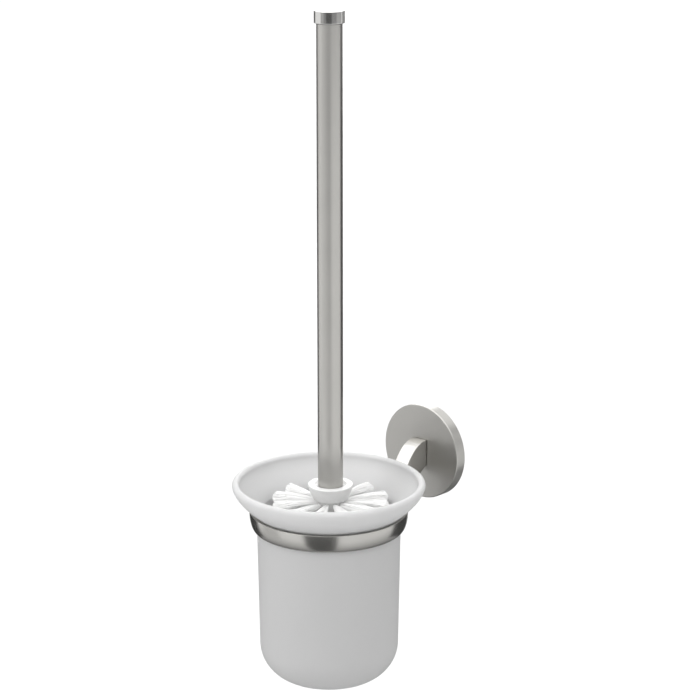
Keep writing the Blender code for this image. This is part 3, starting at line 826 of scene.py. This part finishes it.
class BRUSHHOLDER_OT_brush_head(bpy.types.Operator):
    """White hub with a dished top, and the core that the tufts are set in"""

    bl_idname = "brushholder.brush_head"
    bl_label = "Brush head"
    side_height = 0.0050  # of the hub's side
    side_draft = 0.0015  # how much narrower the hub is at the foot of its side
    waist_spread = 0.0020  # how much wider than the core the hub ends
    tip_height = 0.0040  # of the core's taper

    def execute(self, context):
        sizes = context.scene.brush_holder_sizes
        top, radius = HEAD.top, HEAD.radius
        stud = Place("handle_stud")
        bore = stud.radius + sizes.gap
        bore_end = stud.bottom - sizes.gap
        dish = top - sizes.dish_depth
        waist = top - sizes.hub_height
        tip = HEAD.bottom
        core = sizes.core_radius
        outline = softened([
            (bore, bore_end), (bore, dish), (TUBE.radius, dish), (sizes.dish_radius, top, 0.0003),
            (radius, top, 0.0006), (radius - self.side_draft, top - self.side_height, 0.0008),
            (core + self.waist_spread, waist, 0.0006), (core, waist),
            (core, tip + self.tip_height, 0.0020), (core / 2, tip, 0.0010), (0, tip), (0, bore_end),
        ])
        head = turned(outline, 128, BRUSH_AXIS)
        piece("brush_head_hub", head, "white_plastic", BRUSH, ["brush_head"])
        return {"FINISHED"}


def bristle_tree():
    """Filaments in tufts, set round a core in even rows. Every size is an input."""
    tree = bpy.data.node_groups.new("bristle_rows", "GeometryNodeTree")
    sockets = [
        ("Rows", "Int", 1), ("Tufts", "Int", 12), ("Filaments", "Int", 40), ("Seed", "Int", 1),
        ("First row", "Float", 0.0), ("Row drop", "Float", 0.014), ("Core radius", "Float", 0.008),
        ("Tip radius", "Float", 0.035), ("Tip drop", "Float", 0.0), ("Fan", "Float", 0.33),
        ("Fan height", "Float", 0.008), ("Hole", "Float", 0.0009), ("Thickness", "Float", 0.0003),
        ("Bend", "Float", 0.03), ("Dome", "Float", 0.1), ("Material", "Material", None),
    ]
    tree.interface.new_socket("Geometry", in_out="OUTPUT", socket_type="NodeSocketGeometry")
    for name, kind, value in sockets:
        socket = tree.interface.new_socket(name, in_out="INPUT", socket_type="NodeSocket" + kind)
        if value is not None:
            socket.default_value = value
    graph = Graph(tree)
    given = graph.node("NodeGroupInput", output="Rows")
    read = given.pick

    def geometry(kind, **inputs):
        return graph.node("GeometryNode" + kind, None, inputs)

    def stored(geometry, name, value, domain):
        settings = {"data_type": "FLOAT", "domain": domain}
        inputs = {"Geometry": geometry, "Name": name, "Value": value}
        return graph.node("GeometryNodeStoreNamedAttribute", settings, inputs)

    def recalled(name):
        settings = {"data_type": "FLOAT"}
        return graph.node("GeometryNodeInputNamedAttribute", settings, {"Name": name}, "Attribute")

    def chance(low, high, salt):
        settings = {"data_type": "FLOAT"}
        inputs = {"Min_001": low, "Max_001": high, "ID": index, "Seed": read("Seed") * 16 + salt}
        return graph.node("FunctionNodeRandomValue", settings, inputs, "Value_001")

    per_row = read("Tufts") * read("Filaments")
    points = geometry("Points", Count=given * per_row)
    index = geometry("InputIndex")
    row = graph.math("FLOOR", index / per_row)
    tuft = graph.math("FLOOR", (index % per_row) / read("Filaments"))
    level = read("First row") - row * read("Row drop")
    middle = tuft / read("Tufts") * (2 * pi)
    # An even spread over the tuft's oval: the root of a chance for the distance, and any angle.
    out = chance(0.0, 1.0, 1) ** 0.5
    spin = chance(0.0, 2 * pi, 2)
    side = out * graph.math("COSINE", spin)
    rise = out * graph.math("SINE", spin)
    turn = middle + side * read("Fan") * 0.5
    root_turn = middle + side * read("Hole") / read("Core radius")
    root_radius = read("Core radius") - TUFT_START
    domed = 1 - out * out * read("Dome")
    trim = read("Tip radius") * chance(0.985, 1.0, 3) * domed - read("Thickness") * 0.5

    def around(angle, radius, height):
        return graph.vector(
            radius * graph.math("COSINE", angle), radius * graph.math("SINE", angle), height
        )

    root = around(root_turn, root_radius, level + rise * read("Hole"))
    tip_level = level - read("Tip drop") + rise * (read("Fan height") * 0.5 - read("Thickness"))
    tip = around(turn, trim, tip_level)
    way = graph.node("ShaderNodeVectorMath", {"operation": "SUBTRACT"}, {"Vector": tip, "Vector_001": root})
    span = graph.node("ShaderNodeVectorMath", {"operation": "LENGTH"}, {"Vector": way}, "Value")
    placed = geometry("SetPosition", Geometry=points, Position=root)
    # One filament of unit length along Z, thinner at its tip and slightly bowed.
    stick = graph.node("GeometryNodeMeshCylinder", {"fill_type": "NGON"}, {
        "Vertices": 4, "Side Segments": 3, "Radius": 0.5, "Depth": 1.0}, "Mesh")
    x, y, z = graph.split(geometry("InputPosition"))
    height = z + 0.5
    taper = 1 - height * 0.25
    shaped = graph.vector(x * taper, y * taper, height)
    stick = geometry("SetPosition", Geometry=stick, Position=shaped)
    stick = stored(stick, "along", z, "POINT")
    aim = graph.node("FunctionNodeAlignRotationToVector", {"axis": "Z"}, {"Vector": way})
    about = {"Axis": (0, 0, 1), "Angle": chance(0.0, 2 * pi, 4)}
    spun = graph.node("FunctionNodeAxisAngleToRotation", None, about)
    local = {"rotation_space": "LOCAL"}
    roll = graph.node("FunctionNodeRotateRotation", local, {"Rotation": aim, "Rotate By": spun})
    scale = graph.vector(read("Thickness"), read("Thickness"), span)
    tufts = geometry("InstanceOnPoints", Points=placed, Instance=stick, Rotation=roll, Scale=scale)
    tufts = stored(tufts, "own_tone", chance(0.0, 1.0, 5), "INSTANCE")
    solid = geometry("RealizeInstances", Geometry=tufts)
    bow, swing = recalled("along"), recalled("own_tone")
    # A bow that is nothing at both ends and most in the middle, up or down by the filament's own chance.
    lift = bow * (1 - bow) * 4 * (swing - 0.5) * 2 * read("Bend") * read("Tip radius")
    solid = geometry("SetPosition", Geometry=solid, Offset=graph.vector(0.0, 0.0, lift))
    painted = geometry("SetMaterial", Geometry=solid, Material=read("Material"))
    smooth = geometry("SetShadeSmooth", Geometry=painted)
    graph.node("NodeGroupOutput", None, {"Geometry": smooth})
    return tree


def grown(tree, values):
    """The plain mesh that a geometry tree makes from these inputs."""
    host = loose("host", bmesh.new())
    modifier = host.modifiers.new("made", "NODES")
    modifier.node_group = tree
    for item in tree.interface.items_tree:
        if item.in_out == "INPUT" and item.name in values:
            modifier[item.identifier] = values[item.name]
    return settled(host)


class BRUSHHOLDER_OT_bristles(bpy.types.Operator):
    """Rows of nylon tufts round the core, and the splayed crown at its foot"""

    bl_idname = "brushholder.bristles"
    bl_label = "Bristles"
    crown_root = 0.0060  # of the splayed tufts, above the core's end
    crown_fan = 0.0060  # height of a splayed tuft's tip

    def execute(self, context):
        sizes = context.scene.brush_holder_sizes
        bristles = context.scene.brush_holder_bristles
        nylon = finish("white_bristle")
        tree = bristle_tree()
        names = sorted(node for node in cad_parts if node.startswith("bristle_row_"))
        rows = [Place(name) for name in names]
        crown = Place("bristle_crown")
        levels = [row.middle.z for row in rows]
        drop = (levels[0] - levels[-1]) / (len(levels) - 1)
        common = {
            "Tufts": bristles.tufts, "Core radius": sizes.core_radius, "Fan": bristles.fan,
            "Thickness": bristles.thickness, "Bend": bristles.bend, "Dome": bristles.dome,
            "Tip radius": rows[0].radius, "Fan height": rows[0].size.z, "Row drop": drop, "Material": nylon,
        }
        top = {
            "Rows": 1, "Filaments": bristles.top_filaments, "First row": levels[0], "Seed": bristles.seed,
        }
        others = {
            "Rows": len(rows) - 1, "Filaments": bristles.filaments, "First row": levels[1],
            "Seed": bristles.seed + 1,
        }
        root = HEAD.bottom + self.crown_root
        splayed = {
            "Rows": 1, "Filaments": bristles.filaments, "First row": root, "Seed": bristles.seed + 2,
            "Tip radius": crown.radius, "Fan height": self.crown_fan,
            "Tip drop": root - crown.bottom - self.crown_fan / 2,
        }
        for name, values, nodes in (
            ("bristles_top_row", top, names[:1]),
            ("bristles_lower_rows", others, names[1:]),
            ("bristles_crown", splayed, ["bristle_crown"]),
        ):
            mesh = grown(tree, {**common, **values})
            mesh.transform(BRUSH_AXIS)
            piece(name, mesh, "white_bristle", BRUSH, nodes, 80)
        return {"FINISHED"}


# ---- operators: the fixings


class BRUSHHOLDER_OT_fixings(bpy.types.Operator):
    """Screws, plugs, dowel and the handle's insert and stud, which stay as the frame has them"""

    bl_idname = "brushholder.fixings"
    bl_label = "Fixings"
    finishes = {
        "zinc_plate": ("wall_screw_upper", "wall_screw_lower", "handle_stud", "arm_dowel", "arm_washer"),
        "grey_nylon": ("wall_plug_upper", "wall_plug_lower"),
        "arm_steel": ("arm_screw", "grub_screw", "ring_screw", "handle_insert"),
    }

    def execute(self, context):
        for name, nodes in self.finishes.items():
            for node in nodes:
                dress(node, finish(name))
        return {"FINISHED"}


# ---- operator: the studio


class BRUSHHOLDER_OT_studio(bpy.types.Operator):
    """Pale floor, soft light, cards that shape the metal's reflections, and the camera"""

    bl_idname = "brushholder.studio"
    bl_label = "Studio"
    bottom, low, middle, high, top = -0.49, -0.19, 0.148, 0.210, 0.42  # levels that cards share
    # Each card: the turn from the camera to its two edges, seen from the handle, its two heights, how
    # bright it is, and its distance from the handle if that isn't the usual one.
    cards = (
        ("front_card", -20, 13, low, middle, 0.66),
        ("front_left_card", -44, -20, low, middle, 0.78),
        ("left_card", -72, -44, low, middle, 0.92),
        ("high_card", -24, 20, middle, high, 0.06),
        ("high_left_card", -42, -24, middle, high, 0.25),
        ("high_far_left_card", -66, -42, middle, high, 0.48),
        ("high_right_card", 20, 54, middle, high, 0.25),
        ("high_far_right_card", 54, 98, middle, high, 0.48),
        ("high_back_right_card", 106, 160, middle, high, 0.40),
        ("high_back_left_card", -165, -122, middle, high, 0.22),
        ("low_card", -32, 12, bottom, -0.061, 0.14, 0.20),
        ("low_left_card", -108, -76, bottom, -0.195, 0.80),
        ("right_card", 106, 160, bottom, middle, 0.07),
        ("right_top_card", 106, 160, high, top, 0.04),
        ("back_left_card", -165, -122, bottom, middle, 0.05),
        ("back_left_top_card", -165, -122, high, top, 0.04),
        ("back_card", 163, 192, 0.08, 0.80, 3.30, 0.72),
        ("overhead_card", -140, -80, top, 1.10, 2.60),
    )
    card_steps = 12
    floor_radius = 14
    floor_tones = (0.67, 0.69)
    mat_radius = 1.1
    mat_behind = 0.35
    mat_lift = 0.005  # above the floor
    mat_heart = 0.25  # share of its radius that is all dark
    mat_tones = (0.06, 0.68)
    key_place = (1.2, 1.6, 1.4)  # in front of the cup, to its left and above it
    key_power = 14
    key_size = 1.4

    def add(self, name, data, place, back):
        """Puts a camera or a lamp at this place, with its back turned this way."""
        item = linked(name, data)
        item.matrix_world = Matrix.Translation(place) @ back.to_track_quat("Z", "Y").to_matrix().to_4x4()
        return item

    def camera(self, studio, aim, back):
        lens = bpy.data.cameras.new("camera")
        lens.lens = studio.lens
        lens.sensor_width = 36
        lens.clip_end = 50
        bpy.context.scene.camera = self.add("camera", lens, aim + back * studio.distance, back)

    def painted(self, paint, bm):
        """A studio object with its material's name."""
        item = loose(paint.material.name, bm)
        item.data.materials.append(paint.material)
        return item

    def disc(self, paint, segments, radius, place):
        bm = bmesh.new()
        bmesh.ops.create_circle(bm, cap_ends=True, segments=segments, radius=radius)
        bmesh.ops.translate(bm, vec=place, verts=bm.verts)
        return self.painted(paint, bm)

    def reflected_only(self, item):
        item.visible_camera = False
        item.visible_diffuse = False
        item.visible_shadow = False
        item.visible_transmission = False

    def floor(self, studio):
        paint = Paint("pale_floor", roughness=0.9)
        cloud = paint.noise(0.8, 2.0, 0.5)
        dark, light = self.floor_tones
        paint.feed("Base Color", paint.blend(cloud, grey(dark), grey(light)))
        floor = self.disc(paint, 96, self.floor_radius, (0, 0, -studio.floor_drop))

    def card(self, flat, right, name, start, end, low, high, brightness, distance=0.70):
        """An upright curved card round the handle, seen only in reflections."""
        glow = {"emission_color": (1, 1, 1, 1), "emission_strength": brightness}
        paint = Paint(name, base_color=(0, 0, 0, 1), **glow)
        paint.shader.inputs["Specular IOR Level"].default_value = 0
        bm = bmesh.new()
        columns = []
        for i in range(self.card_steps + 1):
            angle = radians(start + (end - start) * i / self.card_steps)
            way = (flat * cos(angle) + right * sin(angle)) * distance
            place = CUP_AXIS.translation + way
            columns.append([bm.verts.new((place.x, place.y, z)) for z in (low, high)])
        for one, two in zip(columns, columns[1:]):
            bm.faces.new((one[0], two[0], two[1], one[1]))
        self.reflected_only(self.painted(paint, bm))

    def dark_mat(self, studio, centre):
        """A mat seen only in reflections: dark in the middle and fading to the floor's tone."""
        paint = Paint("dark_mat", roughness=0.9)
        across, along, _ = paint.split(paint.place)
        x, y = across - centre.x, along - centre.y
        out = (x * x + y * y) ** 0.5 / self.mat_radius
        share_out = (out - self.mat_heart) / (1 - self.mat_heart)
        fade = paint.math("MINIMUM", paint.math("MAXIMUM", share_out, 0.0), 1.0)
        dark, light = self.mat_tones
        paint.feed("Base Color", paint.blend(fade, grey(dark), grey(light)))
        place = (centre.x, centre.y, self.mat_lift - studio.floor_drop)
        self.reflected_only(self.disc(paint, 64, self.mat_radius, place))

    def key_lamp(self, centre, flat, right):
        light = bpy.data.lights.new("key_lamp", "AREA")
        light.shape = "DISK"
        light.size = self.key_size
        light.energy = self.key_power
        front, left, up = self.key_place
        place = centre + flat * front - right * left + Vector((0, 0, up))
        self.add("key_lamp", light, place, place - centre)

    def sky(self, studio):
        world = bpy.data.worlds.new("soft_room")
        world.use_nodes = True
        bpy.context.scene.world = world
        graph = Graph(world.node_tree)
        way = graph.node("ShaderNodeTexCoord", output="Generated")
        rise = graph.math("MAXIMUM", graph.split(way)[2], 0.0) ** 2.0
        strength = studio.horizon + (studio.zenith - studio.horizon) * rise
        light = world.node_tree.nodes["Background"]
        world.node_tree.links.new(strength.output, light.inputs["Strength"])
        light.inputs["Color"].default_value = grey(1)

    def execute(self, context):
        studio = context.scene.brush_holder_studio
        a, e = studio.azimuth, studio.elevation
        back = Vector((sin(a) * cos(e), -cos(a) * cos(e), sin(e)))
        flat = Vector((sin(a), -cos(a), 0))
        right = Vector((cos(a), sin(a), 0))
        centre = CUP_AXIS.translation
        self.camera(studio, centre + Vector(studio.aim), back)
        self.floor(studio)
        for card in self.cards:
            self.card(flat, right, *card)
        self.dark_mat(studio, centre - flat * self.mat_behind)
        self.sky(studio)
        self.key_lamp(centre, flat, right)
        view = context.scene.view_settings
        view.view_transform = "Standard"
        view.look = "None"
        view.exposure = 0
        view.gamma = 1
        return {"FINISHED"}


# ---- panel and registration


class BRUSHHOLDER_PT_panel(bpy.types.Panel):
    """Every piece of the brush holder, in the order that it is made"""

    bl_idname = "BRUSHHOLDER_PT_panel"
    bl_label = "Brush holder"
    bl_space_type = "VIEW_3D"
    bl_region_type = "UI"
    bl_category = "Brush holder"

    def draw(self, context):
        for operator in OPERATORS:
            self.layout.operator(operator.bl_idname)
        for name in GROUPS:
            box = self.layout.box()
            settings = getattr(context.scene, name)
            for key in settings.__annotations__:
                box.prop(settings, key)


GROUPS = {
    "brush_holder_sizes": BrushHolderSizes,
    "brush_holder_finishes": BrushHolderFinishes,
    "brush_holder_bristles": BrushHolderBristles,
    "brush_holder_studio": BrushHolderStudio,
}

OPERATORS = (
    BRUSHHOLDER_OT_glass_cup,
    BRUSHHOLDER_OT_ring,
    BRUSHHOLDER_OT_arm,
    BRUSHHOLDER_OT_rosette,
    BRUSHHOLDER_OT_wall_plate,
    BRUSHHOLDER_OT_fixings,
    BRUSHHOLDER_OT_handle,
    BRUSHHOLDER_OT_brush_head,
    BRUSHHOLDER_OT_bristles,
    BRUSHHOLDER_OT_studio,
)


def register():
    for cls in (*GROUPS.values(), *OPERATORS, BRUSHHOLDER_PT_panel):
        bpy.utils.register_class(cls)
    for name, group in GROUPS.items():
        setattr(bpy.types.Scene, name, PointerProperty(type=group))


def unregister():
    for name in GROUPS:
        delattr(bpy.types.Scene, name)
    for cls in reversed((*GROUPS.values(), *OPERATORS, BRUSHHOLDER_PT_panel)):
        bpy.utils.unregister_class(cls)


def main():
    register()
    bpy.ops.brushholder.glass_cup()
    bpy.ops.brushholder.ring()
    bpy.ops.brushholder.arm()
    bpy.ops.brushholder.rosette()
    bpy.ops.brushholder.wall_plate()
    bpy.ops.brushholder.fixings()
    bpy.ops.brushholder.handle()
    bpy.ops.brushholder.brush_head()
    bpy.ops.brushholder.bristles()
    bpy.ops.brushholder.studio()


if __name__ == "__main__":
    main()
